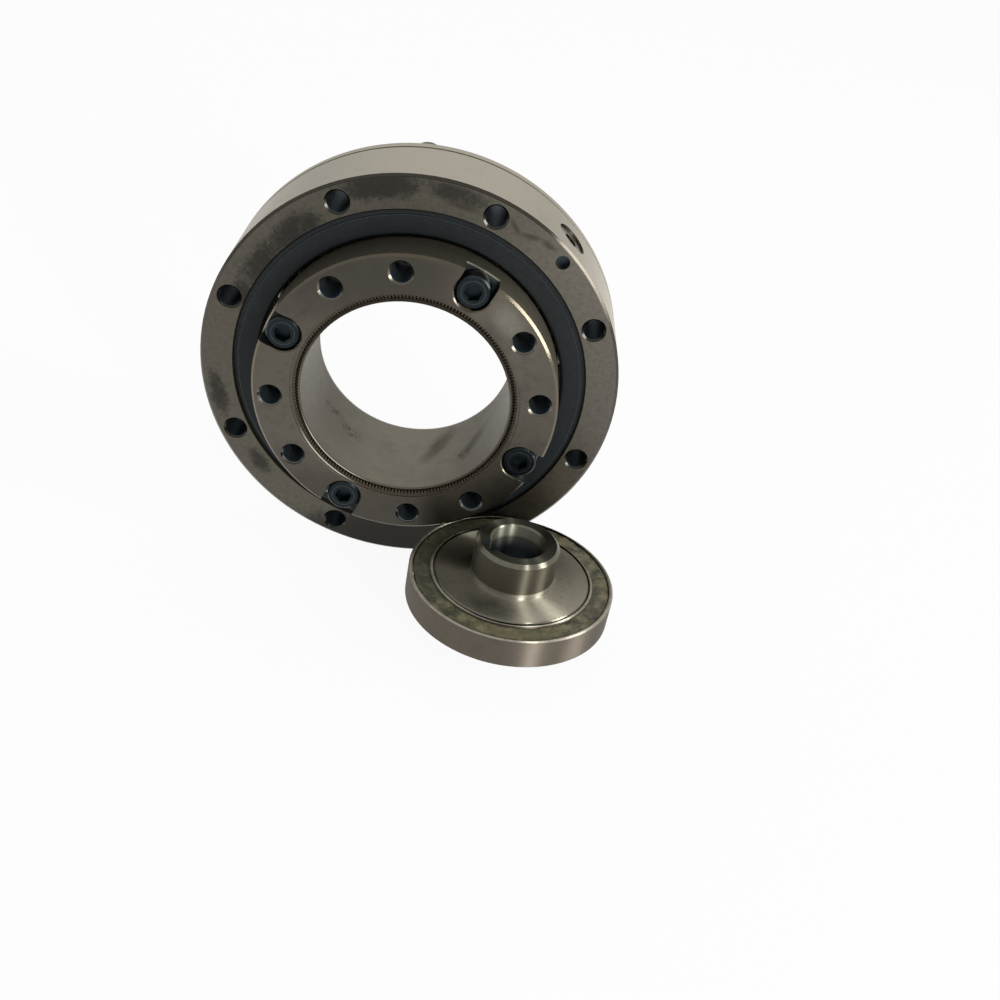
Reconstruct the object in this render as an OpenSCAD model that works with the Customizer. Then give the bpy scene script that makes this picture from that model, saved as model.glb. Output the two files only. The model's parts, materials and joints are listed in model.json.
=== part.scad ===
// Strain wave gear unit with its wave generator taken out.
// The gear unit stands on the rim of its bearing, its axis along Y and its front (the circular spline) facing -Y.
// The wave generator stands on its rear boss in front of the unit, its axis along Z.
// Origin: on the unit's axis, in the plane of the bearing's front face. Millimetres, degrees.

/* [Bearing outer ring] */
// Outer diameter of the bearing's outer ring
case_d = 70; // [66:0.5:76]
// Thickness of the outer ring
ring_t = 14.1; // [13:0.1:16]
// Bevel on the outer ring's rims
ring_bevel = 0.45; // [0.2:0.05:0.8]
// Wall between the case bolt holes and the rim
rim_wall = 1.25; // [1.1:0.05:1.6]
// Number of case bolt holes
case_holes = 8; // [6:2:8]
// Diameter of the case bolt holes
case_hole_d = 3.5; // [3:0.1:3.8]
// Angle of the first case bolt hole, from +X towards +Z
case_turn = 27; // [20:0.5:35]
// Bevel at the mouths of the bolt holes
hole_bevel = 0.3; // [0.1:0.05:0.4]
// Wall between the case bolt holes and the seat for the front seal
seat_wall = 0.85; // [0.5:0.05:1.2]
// Depth of the seat for the front seal
seal_seat_depth = 3; // [2:0.1:3.4]
// Bevel on the seal seat's edge
seal_seat_bevel = 0.2; // [0.1:0.05:0.3]

/* [Crossed rollers] */
// Distance from the outer ring's rim to the rollers' centres
track_inset = 10; // [9.7:0.1:10.3]
// Diameter of a roller
roller_d = 4; // [3.6:0.1:4]
// How much shorter than its diameter a roller is
roller_short = 0.3; // [0.2:0.05:0.6]
// Bevel at a roller's ends
roller_bevel = 0.3; // [0.1:0.05:0.5]
// Least play between a roller and the next spacer
roller_play = 0.2; // [0.1:0.05:0.5]
// Clearance between a roller and its tracks
roller_clear = 0.03; // [0.02:0.01:0.06]
// Thickness of the spacers between rollers
spacer_t = 0.8; // [0.5:0.1:0.9]
// How much smaller than a roller a spacer is
spacer_small = 0.6; // [0.4:0.1:1.2]
// Gap between the inner and outer rings
ring_gap = 0.4; // [0.2:0.05:0.8]

/* [Roller loading plug] */
// Diameter of the radial plug that closes the loading hole
plug_d = 6; // [5.8:0.1:6.4]
// Clearance round the plug
plug_clear = 0.03; // [0.01:0.01:0.06]
// How far the plug's end lies inside the rim
plug_sink = 0.45; // [0.3:0.05:0.8]
// Diameter of the threaded hole that draws the plug out
plug_thread_d = 2.5; // [2:0.1:3]
// Depth of that hole
plug_thread_depth = 1.4; // [1:0.1:1.5]
// Diameter of the taper pin's hole
pin_d = 2.3; // [2:0.05:2.5]
// Distance from the outer ring's rim to the pin's axis
pin_inset = 2.1; // [1.8:0.05:2.4]
// Thickness of the outer ring behind the pin's hole
pin_floor = 2.1; // [1.5:0.1:3]
// How far the pin's end lies below the front face
pin_sink = 1.6; // [0.5:0.1:2.5]
// Clearance round the pin
pin_clear = 0.02; // [0.01:0.01:0.04]

/* [Front seal] */
// How far the seal lies inside the outer ring's front face
seal_sink = 0.15; // [0.1:0.05:0.6]
// Depth of the relief round the seal's outer edge
seal_edge = 0.35; // [0.2:0.05:0.6]
// Width of the relief round the seal's outer edge
seal_edge_w = 0.6; // [0.3:0.05:0.9]
// Width of the seal's lip
lip_w = 0.9; // [0.6:0.1:1.1]
// Gap between the seal's lip and the circular spline
seal_gap = 0.3; // [0.2:0.05:0.5]

/* [Bearing inner ring] */
// Gap between the inner ring's bore and the flexspline
cup_gap = 0.85; // [0.6:0.05:1]
// How far the inner ring's front face lies behind the bearing's front face
inner_step = 0.6; // [0.3:0.1:1]
// How far the inner ring's rear face lies inside the outer ring's
inner_recess = 0.7; // [0.4:0.1:1.5]
// Bevel on the rings' hidden edges
edge_bevel = 0.25; // [0.1:0.05:0.3]
// Distance from the ends of the inner ring's threads to the plane of the rollers' centres
thread_stop = 2.25; // [2:0.05:3]

/* [Circular spline] */
// How far the circular spline's rim overhangs the inner ring
cs_overhang = 0.2; // [0:0.05:0.3]
// How far the circular spline stands proud of the bearing
cs_proud = 7; // [6.6:0.1:8]
// Bevel on the circular spline's front edges
cs_bevel = 0.4; // [0.2:0.05:0.5]
// Distance from the circular spline's rim to its bolt circle
out_inset = 3; // [2.7:0.05:3.2]
// Diameter of the output bolt holes
out_hole_d = 3.5; // [3.2:0.1:3.6]
// Places on the output bolt circle, every third one a notch for a fixing screw
out_places = 12; // [12:3:12]
// Angle of the first output bolt hole, from +X towards +Z
out_turn = 8; // [0:0.5:15]
// Clearance between a notch and its screw's head
notch_clear = 0.25; // [0.15:0.05:0.35]
// How far the fixing screws' heads lie inside the front face
head_sink = 0.3; // [0.1:0.05:0.6]
// Bevel on the notches' round ends
notch_bevel = 0.2; // [0.1:0.05:0.3]

/* [Gear teeth] */
// Wall between the notches and the flexspline's pitch circle
notch_wall = 1.22; // [1.2:0.02:1.4]
// Teeth on the flexspline, two fewer than on the circular spline
flex_teeth = 200; // [196:2:202]
// Height of a tooth
tooth_h = 0.33; // [0.26:0.01:0.36]
// Clearance between the two sets of teeth while the wave generator is out
tooth_clear = 0.14; // [0.1:0.01:0.16]
// Length of the flexspline's teeth
flex_tooth_l = 6.8; // [5:0.1:7.4]

/* [Flexspline] */
// Thickness of the cup's wall and diaphragm
wall_t = 0.35; // [0.28:0.01:0.4]
// How far the cup's rim lies inside the circular spline's front face
cup_sink = 0.55; // [0.3:0.05:1]
// Radius of the bend between the cup and its diaphragm, on the rear side
bend_r = 3.1; // [2.6:0.1:3.3]
// Thickness of the flange
flange_t = 2.4; // [2:0.1:3]
// Width of the flange
flange_w = 7.7; // [7.2:0.1:8]
// How far the diaphragm lies inside the flange's rear face
dish_depth = 0.5; // [0.3:0.1:0.9]

/* [Screws and O-rings] */
// Diameter of the screws' threads
screw_d = 3; // [2.9:0.1:3]
// Diameter of the screws' heads
head_d = 5.5; // [5:0.1:5.7]
// Height of the heads
head_h = 3; // [2.6:0.1:3.1]
// Bevel on the heads
head_bevel = 0.25; // [0.1:0.05:0.4]
// Width across flats of the hexagon sockets
socket_w = 2.5; // [2:0.1:2.6]
// Depth of the sockets
socket_depth = 1.3; // [1:0.1:1.6]
// Height of the rear screws' low heads
low_head_h = 1.7; // [1.4:0.1:2]
// Clearance round the screws in their threads
thread_clear = 0.02; // [0.01:0.01:0.04]
// Diameter of the clearance holes for the fixing screws
screw_hole_d = 3.1; // [3.1:0.05:3.3]
// Depth of thread used by the rear screws
rear_thread = 5; // [3:0.5:6]
// Length of the threaded holes past the screws' ends
thread_spare = 0.8; // [0.5:0.1:1]
// Thickness of the O-rings' cord
oring_d = 0.9; // [0.7:0.05:1]
// Distance from the case bolt circle to the middle of the rear O-ring
rear_oring_inset = 3.5; // [3.3:0.05:3.6]
// Distance from the inner ring's bore to the middle of the front O-ring
front_oring_inset = 1.3; // [1.2:0.05:1.35]
// Clearance round the O-rings in their grooves
oring_clear = 0.05; // [0.03:0.01:0.1]

/* [Wave generator] */
// Distance from the unit's axis to the outer race's left side, along X
wave_side = 4.93; // [4.5:0.01:9]
// Gap between the outer race and the plane of the bearing's front face
wave_gap = 0.352; // [0.35:0.002:3]
// Clearance between the outer race and the flexspline's cup, both round
wave_clear = 0.03; // [0.01:0.01:0.1]
// Height of the wave: how far the oval departs from a circle, each way
wave_h = 0.178; // [0.12:0.002:0.2]
// Width of the outer race
race_w = 5.4; // [5:0.1:5.8]
// Thickness of the outer race behind its ball track
outer_track_wall = 0.225; // [0.2:0.005:0.3]
// Depth of the outer race's ball track
outer_track_depth = 0.4; // [0.3:0.01:0.45]
// Depth of the inner race's ball track
inner_track_depth = 0.25; // [0.2:0.01:0.3]
// Thickness of the inner race behind its ball track
inner_track_wall = 0.31; // [0.25:0.01:0.4]
// How far the inner race and the plug's plate stand above the outer race
race_rise = 0.25; // [0:0.05:0.4]
// Gap between the plug and the inner race
race_seat = 0.04; // [0.02:0.01:0.06]
// Bevel on the races' edges
race_bevel = 0.2; // [0.1:0.05:0.25]
// Diameter of the balls
ball_d = 3.175; // [3.1:0.025:3.175]
// Least web of the cage between two balls
cage_web = 0.9; // [0.8:0.05:1.4]
// Running clearance of the balls in the races and the cage
ball_clear = 0.03; // [0.02:0.01:0.05]
// Thickness of the cage's closed front side
cage_roof = 0.7; // [0.5:0.05:0.9]
// Bevel on the cage's edges
cage_bevel = 0.15; // [0.05:0.05:0.25]
// Gap between the cage and the inner race, both round
cage_inner_gap = 0.45; // [0.4:0.01:0.6]
// Gap between the cage and the outer race, both round
cage_outer_gap = 0.35; // [0.3:0.01:0.5]

/* [Wave generator hub] */
// Wall of the hub round the shaft bore
hub_wall = 2.5; // [2:0.1:3.5]
// Height of the hub above the plug's plate
hub_h = 6.75; // [5:0.25:9]
// Bevel on the hub's end
hub_bevel = 0.6; // [0.3:0.05:0.8]
// Radius of the fillet at the hub's foot
hub_fillet = 0.35; // [0.2:0.05:0.6]
// Diameter of the shaft bore
shaft_d = 9; // [8:0.1:9.5]
// Bevel at the ends of the shaft bore
shaft_bevel = 0.25; // [0.1:0.05:0.4]
// Width of the keyway
key_w = 3; // [2:0.1:3]
// Depth of the keyway, from the shaft bore's wall
key_depth = 1.2; // [1:0.05:1.4]
// Angle of the keyway, from +X towards +Y
key_turn = -153; // [-180:1:180]
// Wall of the rear boss round the shaft bore
boss_wall = 4.5; // [3.5:0.1:5.4]
// Height of the rear boss below the outer race
boss_h = 6.1; // [5.5:0.1:7]

/* [Hidden] */
$fn = 96;

eps = 0.01;
case_r = case_d / 2;
case_bolt_r = case_r - rim_wall - case_hole_d / 2;
seal_seat_r = case_bolt_r - case_hole_d / 2 - seat_wall;
track_z = -ring_t / 2;
track_r = case_r - track_inset;
track_side = roller_d + 2 * roller_clear;
outer_bore_r = track_r + ring_gap / 2;
inner_od_r = track_r - ring_gap / 2;
roller_l = roller_d - roller_short;
// Rollers lean two ways by turns, so their number is even.
roller_n = 2 * floor(PI * track_r / (roller_d + spacer_t + 2 * roller_play));
plug_angle = case_turn + 180 / case_holes;
pin_r = case_r - pin_inset;
pin_depth = ring_t - pin_floor;
rear_screws = 4;
rear_turn = plug_angle + 180 / rear_screws;
inner_front = -inner_step;
inner_rear = -ring_t + inner_recess;
thread_end = track_z + thread_stop;
cs_r = inner_od_r + cs_overhang;
out_bolt_r = cs_r - out_inset;
out_step = 360 / out_places;
notch_turn = out_turn + 2 * out_step;
notches = 4;
notch_w = head_d + 2 * notch_clear;
notch_depth = head_h + head_sink;
notch_floor = cs_proud - notch_depth;
flange_rear = -ring_t - flange_t;

// Teeth: the relaxed flexspline's tips keep tooth_clear from the circular spline's.
flex_pitch_r = out_bolt_r - notch_w / 2 - notch_wall;
cs_teeth = flex_teeth + 2;
cs_pitch_r = flex_pitch_r * cs_teeth / flex_teeth;
flex_tip_r = flex_pitch_r;
flex_root_r = flex_tip_r - tooth_h;
cs_tip_r = flex_tip_r + tooth_clear;
cs_root_r = cs_tip_r + tooth_h + (cs_pitch_r - flex_pitch_r) / 2;
cup_r = flex_root_r - wall_t;
cup_front = cs_proud - cup_sink;
diaphragm_rear = flange_rear + dish_depth;
bend_z = diaphragm_rear + bend_r;

inner_bore_r = flex_root_r + cup_gap;
oring_groove_w = oring_d + 2 * oring_clear;
oring_groove_h = oring_d - oring_clear;
rear_oring_r = case_bolt_r - rear_oring_inset;
front_oring_r = inner_bore_r + front_oring_inset;

// Wave generator, from the outer race inwards; heights run from that race's lower face.
race_r = cup_r - wave_clear;
ball_track_r = ball_d / 2 + ball_clear + wave_h;
ball_row_r = race_r - outer_track_wall - ball_track_r;
ball_n = floor(2 * PI * ball_row_r / (ball_d + cage_web));
outer_land_r = race_r - outer_track_wall - outer_track_depth;
inner_track_floor_r = ball_row_r - ball_track_r;
inner_land_r = inner_track_floor_r + inner_track_depth;
inner_bore_race_r = inner_track_floor_r - inner_track_wall;
oval_r = inner_bore_race_r - race_seat;
plate_z = race_w + race_rise;
hub_r = shaft_d / 2 + hub_wall;
hub_top = plate_z + hub_h;
boss_r = shaft_d / 2 + boss_wall;
wave_floor = -case_r + boss_h;
ball_z = race_w / 2;
wave_x = race_r + wave_side;
wave_y = race_r + wave_h + wave_gap;
// The oval is four arcs; oval_c is how far their centres lie from the axis.
oval_c = 2 * wave_h / (2 - sqrt(2));

steel = [0.66, 0.64, 0.60];
spline_steel = [0.52, 0.50, 0.46];
bright_steel = [0.78, 0.77, 0.74];
black_oxide = [0.16, 0.17, 0.18];
rubber = [0.16, 0.22, 0.24];
grease_green = [0.42, 0.42, 0.30];
plastic = [0.80, 0.76, 0.62];

// ---- placing ----

// Turns a piece modelled with its front along +Z so that the front faces -Y.
module standing() {
    rotate([90, 0, 0]) children();
}

module wave_place() {
    translate([wave_x, -wave_y, wave_floor]) children();
}

module ring_of(count, radius, turn) {
    for (i = [0 : count - 1])
        rotate([0, 0, turn + i * 360 / count])
            translate([radius, 0, 0]) children();
}

// ---- shared shapes ----

// A hole from z0 up to z1 with a bevelled mouth at z1.
module hole(d, z0, z1, bevel) {
    translate([0, 0, z0]) cylinder(d = d, h = z1 - z0 + eps);
    translate([0, 0, z1 - bevel])
        cylinder(d1 = d, d2 = d + 2 * bevel + 2 * eps, h = bevel + eps);
}

// Half section of a ring with bevelled corners: front and rear bevels outside, then inside.
module ring_section(r0, r1, z0, z1, out_bevel, in_bevel) {
    polygon([
        [r0 + in_bevel, z0], [r1 - out_bevel, z0], [r1, z0 + out_bevel], [r1, z1 - out_bevel],
        [r1 - out_bevel, z1], [r0 + in_bevel, z1], [r0, z1 - in_bevel], [r0, z0 + in_bevel]
    ]);
}

// The square track, on its corner, that both rings and the loading plug carry.
module roller_track() {
    rotate_extrude()
        translate([track_r, track_z])
            rotate(45) square(track_side, center = true);
}

// Corners of a ring of trapezoid teeth: full width at the foot, narrow at the tip.
function tooth_points(teeth, foot_r, tip_r, foot_share, tip_share) = [
    for (i = [0 : teeth - 1], k = [0 : 3])
        let (
            pitch = 360 / teeth,
            share = (k == 0 || k == 3) ? foot_share : tip_share,
            side = k < 2 ? -1 : 1,
            r = (k == 0 || k == 3) ? foot_r : tip_r,
            a = (i + side * share / 2) * pitch
        )
        [r * cos(a), r * sin(a)]
];

// Sweeps a half section, drawn for the mean circle, along the oval of four arcs.
module oval_sweep() {
    for (i = [0 : 3]) {
        along = (i % 2 == 0);
        shift = along ? wave_h - oval_c : oval_c - wave_h;
        rotate([0, 0, i * 90])
            translate([along ? oval_c : -oval_c, 0, 0])
                rotate([0, 0, -45])
                    rotate_extrude(angle = 90)
                        translate([shift, 0]) children();
    }
}

// Socket head screw with its head's seat at z = 0 and its thread towards -Z.
module socket_screw(thread_l, head) {
    difference() {
        union() {
            rotate_extrude()
                polygon([
                    [0, 0], [head_d / 2, 0], [head_d / 2, head - head_bevel],
                    [head_d / 2 - head_bevel, head], [0, head]
                ]);
            translate([0, 0, -thread_l])
                cylinder(d = screw_d - 2 * thread_clear, h = thread_l + head / 2);
        }
        translate([0, 0, head - socket_depth])
            cylinder(d = socket_w / cos(30), h = socket_depth + eps, $fn = 6);
    }
}

module oring(r, z) {
    color(rubber)
        rotate_extrude()
            translate([r, z]) circle(d = oring_d - 2 * oring_clear);
}

// ---- bearing, fixed side ----

module outer_ring() {
    color(steel) standing() difference() {
        rotate_extrude()
            ring_section(outer_bore_r, case_r, -ring_t, 0, ring_bevel, edge_bevel);
        roller_track();
        translate([0, 0, -seal_seat_depth])
            cylinder(r = seal_seat_r, h = seal_seat_depth + eps);
        translate([0, 0, -seal_seat_bevel])
            cylinder(r1 = seal_seat_r, r2 = seal_seat_r + seal_seat_bevel + eps,
                h = seal_seat_bevel + eps);
        ring_of(case_holes, case_bolt_r, case_turn)
            hole(case_hole_d, -ring_t - eps, 0, hole_bevel);
        ring_of(rear_screws, case_bolt_r, rear_turn)
            translate([0, 0, -ring_t - eps]) cylinder(d = screw_d, h = rear_thread + thread_spare + eps);
        rotate([0, 0, plug_angle]) translate([track_r - 1, 0, track_z])
            rotate([0, 90, 0]) cylinder(d = plug_d, h = case_r);
        rotate([0, 0, plug_angle]) translate([pin_r, 0, -pin_depth])
            cylinder(d = pin_d, h = pin_depth + eps);
        rotate_extrude()
            translate([rear_oring_r - oring_groove_w / 2, -ring_t - eps])
                square([oring_groove_w, oring_groove_h + eps]);
    }
}

module loading_plug() {
    color(steel) standing() difference() {
        rotate([0, 0, plug_angle]) translate([0, 0, track_z]) rotate([0, 90, 0])
            difference() {
                translate([0, 0, track_r])
                    cylinder(d = plug_d - 2 * plug_clear, h = case_r - plug_sink - track_r);
                translate([0, 0, case_r - plug_sink - plug_thread_depth])
                    cylinder(d = plug_thread_d, h = plug_thread_depth + eps);
            }
        roller_track();
        translate([0, 0, -ring_t]) cylinder(r = outer_bore_r, h = ring_t);
        rotate([0, 0, plug_angle]) translate([pin_r, 0, -pin_depth])
            cylinder(d = pin_d, h = pin_depth);
    }
}

module plug_pin() {
    color(black_oxide) standing()
        rotate([0, 0, plug_angle]) translate([pin_r, 0, -pin_depth])
            cylinder(d = pin_d - 2 * pin_clear, h = pin_depth - pin_sink);
}

module front_seal() {
    lip_r = cs_r + seal_gap;
    top = -seal_sink;
    color(rubber) standing() rotate_extrude()
        polygon([
            [lip_r + lip_w, -seal_seat_depth], [seal_seat_r, -seal_seat_depth],
            [seal_seat_r, top - seal_edge], [seal_seat_r - seal_edge_w, top - seal_edge],
            [seal_seat_r - seal_edge_w - seal_edge / 2, top],
            [lip_r + lip_w / 2, top], [lip_r, top - lip_w / 2], [lip_r, top - lip_w],
            [lip_r + lip_w, top - 1.5 * lip_w]
        ]);
}

// ---- flexspline: thin toothed cup, turned-out diaphragm and bolted flange ----

module flexspline() {
    flange_r = case_r - flange_w;
    bend_steps = 8;
    bend_c = [cup_r + bend_r, bend_z];
    rear_arc = [
        for (i = [0 : bend_steps])
            bend_c + bend_r * [-cos(i * 90 / bend_steps), -sin(i * 90 / bend_steps)]
    ];
    front_arc = [
        for (i = [bend_steps : -1 : 0])
            bend_c + (bend_r - wall_t) * [-cos(i * 90 / bend_steps), -sin(i * 90 / bend_steps)]
    ];
    color(steel) standing() difference() {
        union() {
            rotate_extrude()
                polygon(concat(
                    [[cup_r, cup_front]],
                    rear_arc,
                    [
                        [flange_r, diaphragm_rear], [flange_r + dish_depth, flange_rear],
                        [case_r - ring_bevel, flange_rear], [case_r, flange_rear + ring_bevel],
                        [case_r, -ring_t - 0.12], [case_r - 0.12, -ring_t],
                        [flange_r + 0.9, -ring_t], [flange_r - 0.4, diaphragm_rear + wall_t]
                    ],
                    front_arc,
                    [[flex_root_r, cup_front]]
                ));
            translate([0, 0, cup_front - 0.2 - flex_tooth_l])
                linear_extrude(flex_tooth_l) difference() {
                    polygon(tooth_points(flex_teeth, flex_root_r + 0.01, flex_tip_r, 0.8, 0.28));
                    circle(r = flex_root_r - wall_t / 2);
                }
        }
        ring_of(case_holes, case_bolt_r, case_turn)
            translate([0, 0, flange_rear - eps]) cylinder(d = case_hole_d, h = flange_t + 2 * eps);
        ring_of(rear_screws, case_bolt_r, rear_turn)
            translate([0, 0, flange_rear - eps]) cylinder(d = screw_hole_d, h = flange_t + 2 * eps);
    }
}

module rear_oring() {
    standing() oring(rear_oring_r, -ring_t + oring_groove_h / 2);
}

module rear_screw(i) {
    color(black_oxide) standing()
        rotate([0, 0, rear_turn + i * 360 / rear_screws]) translate([case_bolt_r, 0, flange_rear])
            mirror([0, 0, 1]) socket_screw(rear_thread + flange_t, low_head_h);
}

// ---- crossed rollers: neighbours lean opposite ways ----

module roller() {
    rotate_extrude()
        polygon([
            [0, -roller_l / 2], [roller_d / 2 - roller_bevel, -roller_l / 2],
            [roller_d / 2, -roller_l / 2 + roller_bevel], [roller_d / 2, roller_l / 2 - roller_bevel],
            [roller_d / 2 - roller_bevel, roller_l / 2], [0, roller_l / 2]
        ]);
}

module roller_set(first, lean) {
    color(bright_steel) standing()
        ring_of(roller_n / 2, track_r, plug_angle + first * 360 / roller_n)
            translate([0, 0, track_z]) rotate([0, lean, 0]) roller();
}

module roller_spacers() {
    color(plastic) standing()
        ring_of(roller_n, track_r, plug_angle + 180 / roller_n)
            translate([0, 0, track_z]) rotate([90, 0, 0])
                cylinder(d = roller_d - spacer_small, h = spacer_t, center = true);
}

// ---- output side: inner ring and circular spline ----

module inner_ring() {
    color(steel) standing() difference() {
        rotate_extrude()
            ring_section(inner_bore_r, inner_od_r, inner_rear, inner_front, edge_bevel, edge_bevel);
        roller_track();
        ring_of(out_places, out_bolt_r, out_turn)
            translate([0, 0, thread_end])
                cylinder(d = screw_d, h = inner_front - thread_end + eps);
        rotate_extrude()
            translate([front_oring_r - oring_groove_w / 2, inner_front - oring_groove_h])
                square([oring_groove_w, oring_groove_h + eps]);
    }
}

module circular_spline() {
    body_bore_r = cs_root_r + 0.5;
    color(spline_steel) standing() difference() {
        union() {
            rotate_extrude()
                polygon([
                    [body_bore_r, inner_front], [cs_r - 0.1, inner_front],
                    [cs_r, inner_front + 0.1], [cs_r, cs_proud - cs_bevel],
                    [cs_r - cs_bevel, cs_proud], [body_bore_r, cs_proud]
                ]);
            translate([0, 0, inner_front + 0.2])
                linear_extrude(cs_proud - inner_front - 0.5) difference() {
                    circle(r = body_bore_r + 0.2);
                    polygon(tooth_points(cs_teeth, cs_tip_r, cs_root_r, 0.72, 0.2));
                }
        }
        for (i = [0 : out_places - 1])
            rotate([0, 0, out_turn + i * out_step]) translate([out_bolt_r, 0, 0])
                if (i % 3 == 2)
                    translate([0, 0, inner_front - eps])
                        cylinder(d = screw_hole_d, h = cs_proud - inner_front);
                else
                    hole(out_hole_d, inner_front - eps, cs_proud, hole_bevel);
        ring_of(notches, out_bolt_r, notch_turn)
            translate([0, 0, notch_floor]) {
                cylinder(d = notch_w, h = notch_depth + eps);
                translate([0, -notch_w / 2, 0])
                    cube([cs_r, notch_w, notch_depth + eps]);
                translate([0, 0, notch_depth - notch_bevel])
                    cylinder(d1 = notch_w, d2 = notch_w + 2 * notch_bevel + 2 * eps,
                        h = notch_bevel + eps);
            }
    }
}

module front_oring() {
    standing() oring(front_oring_r, inner_front - oring_groove_h / 2);
}

module spline_screw(i) {
    color(black_oxide) standing()
        rotate([0, 0, notch_turn + i * 360 / notches]) translate([out_bolt_r, 0, notch_floor])
            socket_screw(notch_floor - thread_end - thread_spare, head_h);
}

// ---- wave generator ----

module ball_track() {
    translate([ball_row_r, ball_z]) circle(r = ball_track_r);
}

module wave_outer_race() {
    color(bright_steel) wave_place() oval_sweep() difference() {
        ring_section(outer_land_r, race_r, 0, race_w, race_bevel, race_bevel);
        ball_track();
    }
}

module wave_inner_race() {
    color(bright_steel) wave_place() oval_sweep() difference() {
        ring_section(inner_bore_race_r, inner_land_r, 0, plate_z, race_bevel, race_bevel);
        ball_track();
    }
}

module wave_balls() {
    color(bright_steel) wave_place()
        ring_of(ball_n, ball_row_r, 0)
            translate([0, 0, ball_z]) sphere(d = ball_d);
}

module wave_cage() {
    roof_z = ball_z + ball_d / 2 + ball_clear;
    color(grease_green) wave_place() difference() {
        rotate_extrude()
            ring_section(inner_land_r + cage_inner_gap, outer_land_r - cage_outer_gap,
                ball_z - ball_d / 4, roof_z + cage_roof, cage_bevel, cage_bevel);
        ring_of(ball_n, ball_row_r, 0)
            cylinder(d = ball_d + 2 * ball_clear, h = roof_z);
    }
}

module wave_plug() {
    core_r = oval_r - 2;
    color(bright_steel) wave_place() difference() {
        union() {
            oval_sweep()
                polygon([
                    [core_r - 1, 0], [oval_r - race_bevel, 0], [oval_r, race_bevel],
                    [oval_r, plate_z - race_bevel], [oval_r - race_bevel, plate_z],
                    [core_r - 1, plate_z]
                ]);
            rotate_extrude()
                polygon([
                    [0, -boss_h], [boss_r - hub_bevel, -boss_h], [boss_r, -boss_h + hub_bevel],
                    [boss_r, 0], [core_r, 0],
                    [core_r, plate_z],
                    [hub_r + hub_fillet, plate_z], [hub_r + hub_fillet * 0.3, plate_z + hub_fillet * 0.3],
                    [hub_r, plate_z + hub_fillet],
                    [hub_r, hub_top - hub_bevel], [hub_r - hub_bevel, hub_top], [0, hub_top]
                ]);
        }
        translate([0, 0, -boss_h - eps]) cylinder(d = shaft_d, h = boss_h + hub_top + 2 * eps);
        translate([0, 0, hub_top - shaft_bevel])
            cylinder(d1 = shaft_d, d2 = shaft_d + 2 * shaft_bevel + 2 * eps, h = shaft_bevel + eps);
        translate([0, 0, -boss_h - eps])
            cylinder(d1 = shaft_d + 2 * shaft_bevel + 2 * eps, d2 = shaft_d, h = shaft_bevel + eps);
        rotate([0, 0, key_turn]) translate([0, -key_w / 2, -boss_h - eps])
            cube([shaft_d / 2 + key_depth, key_w, boss_h + hub_top + 2 * eps]);
    }
}

outer_ring();
loading_plug();
plug_pin();
front_seal();
flexspline();
rear_oring();
rear_screw(0);  // rear_screw_1
rear_screw(1);  // rear_screw_2
rear_screw(2);  // rear_screw_3
rear_screw(3);  // rear_screw_4
roller_set(0, 45);  // rollers_left
roller_set(1, -45);  // rollers_right
roller_spacers();
inner_ring();
circular_spline();
front_oring();
spline_screw(0);  // spline_screw_1
spline_screw(1);  // spline_screw_2
spline_screw(2);  // spline_screw_3
spline_screw(3);  // spline_screw_4
wave_outer_race();
wave_balls();
wave_cage();
wave_inner_race();
wave_plug();
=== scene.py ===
"""Finishes the packed strain wave gear unit in steel, rubber and old grease, and lights it."""

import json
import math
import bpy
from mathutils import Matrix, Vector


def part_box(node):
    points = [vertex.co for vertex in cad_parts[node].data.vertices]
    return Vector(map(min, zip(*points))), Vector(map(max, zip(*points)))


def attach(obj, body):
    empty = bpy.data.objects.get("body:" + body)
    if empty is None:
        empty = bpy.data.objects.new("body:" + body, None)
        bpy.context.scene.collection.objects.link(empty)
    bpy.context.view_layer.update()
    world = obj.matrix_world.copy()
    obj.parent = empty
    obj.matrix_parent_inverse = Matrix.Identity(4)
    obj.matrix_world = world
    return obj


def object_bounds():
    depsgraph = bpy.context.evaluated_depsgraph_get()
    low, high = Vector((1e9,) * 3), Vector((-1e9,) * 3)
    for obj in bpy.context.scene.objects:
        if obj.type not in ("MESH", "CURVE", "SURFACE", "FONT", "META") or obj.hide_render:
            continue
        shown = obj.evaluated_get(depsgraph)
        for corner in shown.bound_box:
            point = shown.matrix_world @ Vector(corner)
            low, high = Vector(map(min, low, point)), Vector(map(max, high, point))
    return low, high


bl_info = {
    "name": "Strain Wave Gear Looks",
    "version": (1, 0, 0),
    "blender": (4, 5, 0),
    "location": "View3D > Sidebar > Gear Unit",
    "description": "Finishes a strain wave gear unit and its wave generator, and sets a plain studio",
    "category": "Object",
}

import bmesh
import bpy
from bpy.props import FloatProperty, FloatVectorProperty, IntProperty, PointerProperty
from mathutils import Matrix, Vector, noise

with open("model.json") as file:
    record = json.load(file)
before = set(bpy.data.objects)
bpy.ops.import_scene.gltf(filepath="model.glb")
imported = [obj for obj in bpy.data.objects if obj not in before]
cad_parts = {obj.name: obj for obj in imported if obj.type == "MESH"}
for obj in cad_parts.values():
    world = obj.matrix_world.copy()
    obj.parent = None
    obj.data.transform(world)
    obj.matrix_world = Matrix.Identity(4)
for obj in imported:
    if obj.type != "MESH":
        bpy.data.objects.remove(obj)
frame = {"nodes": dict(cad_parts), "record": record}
CAD_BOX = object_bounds()
NODES = frame["nodes"]
MOUNTS = {mount["name"]: mount for mount in frame["record"]["mounts"]}

MM = 0.001


def low_mm(node):
    """Lowest corner of a CAD node, in millimetres."""
    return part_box(node)[0] / MM


def high_mm(node):
    """Highest corner of a CAD node, in millimetres."""
    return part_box(node)[1] / MM


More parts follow.
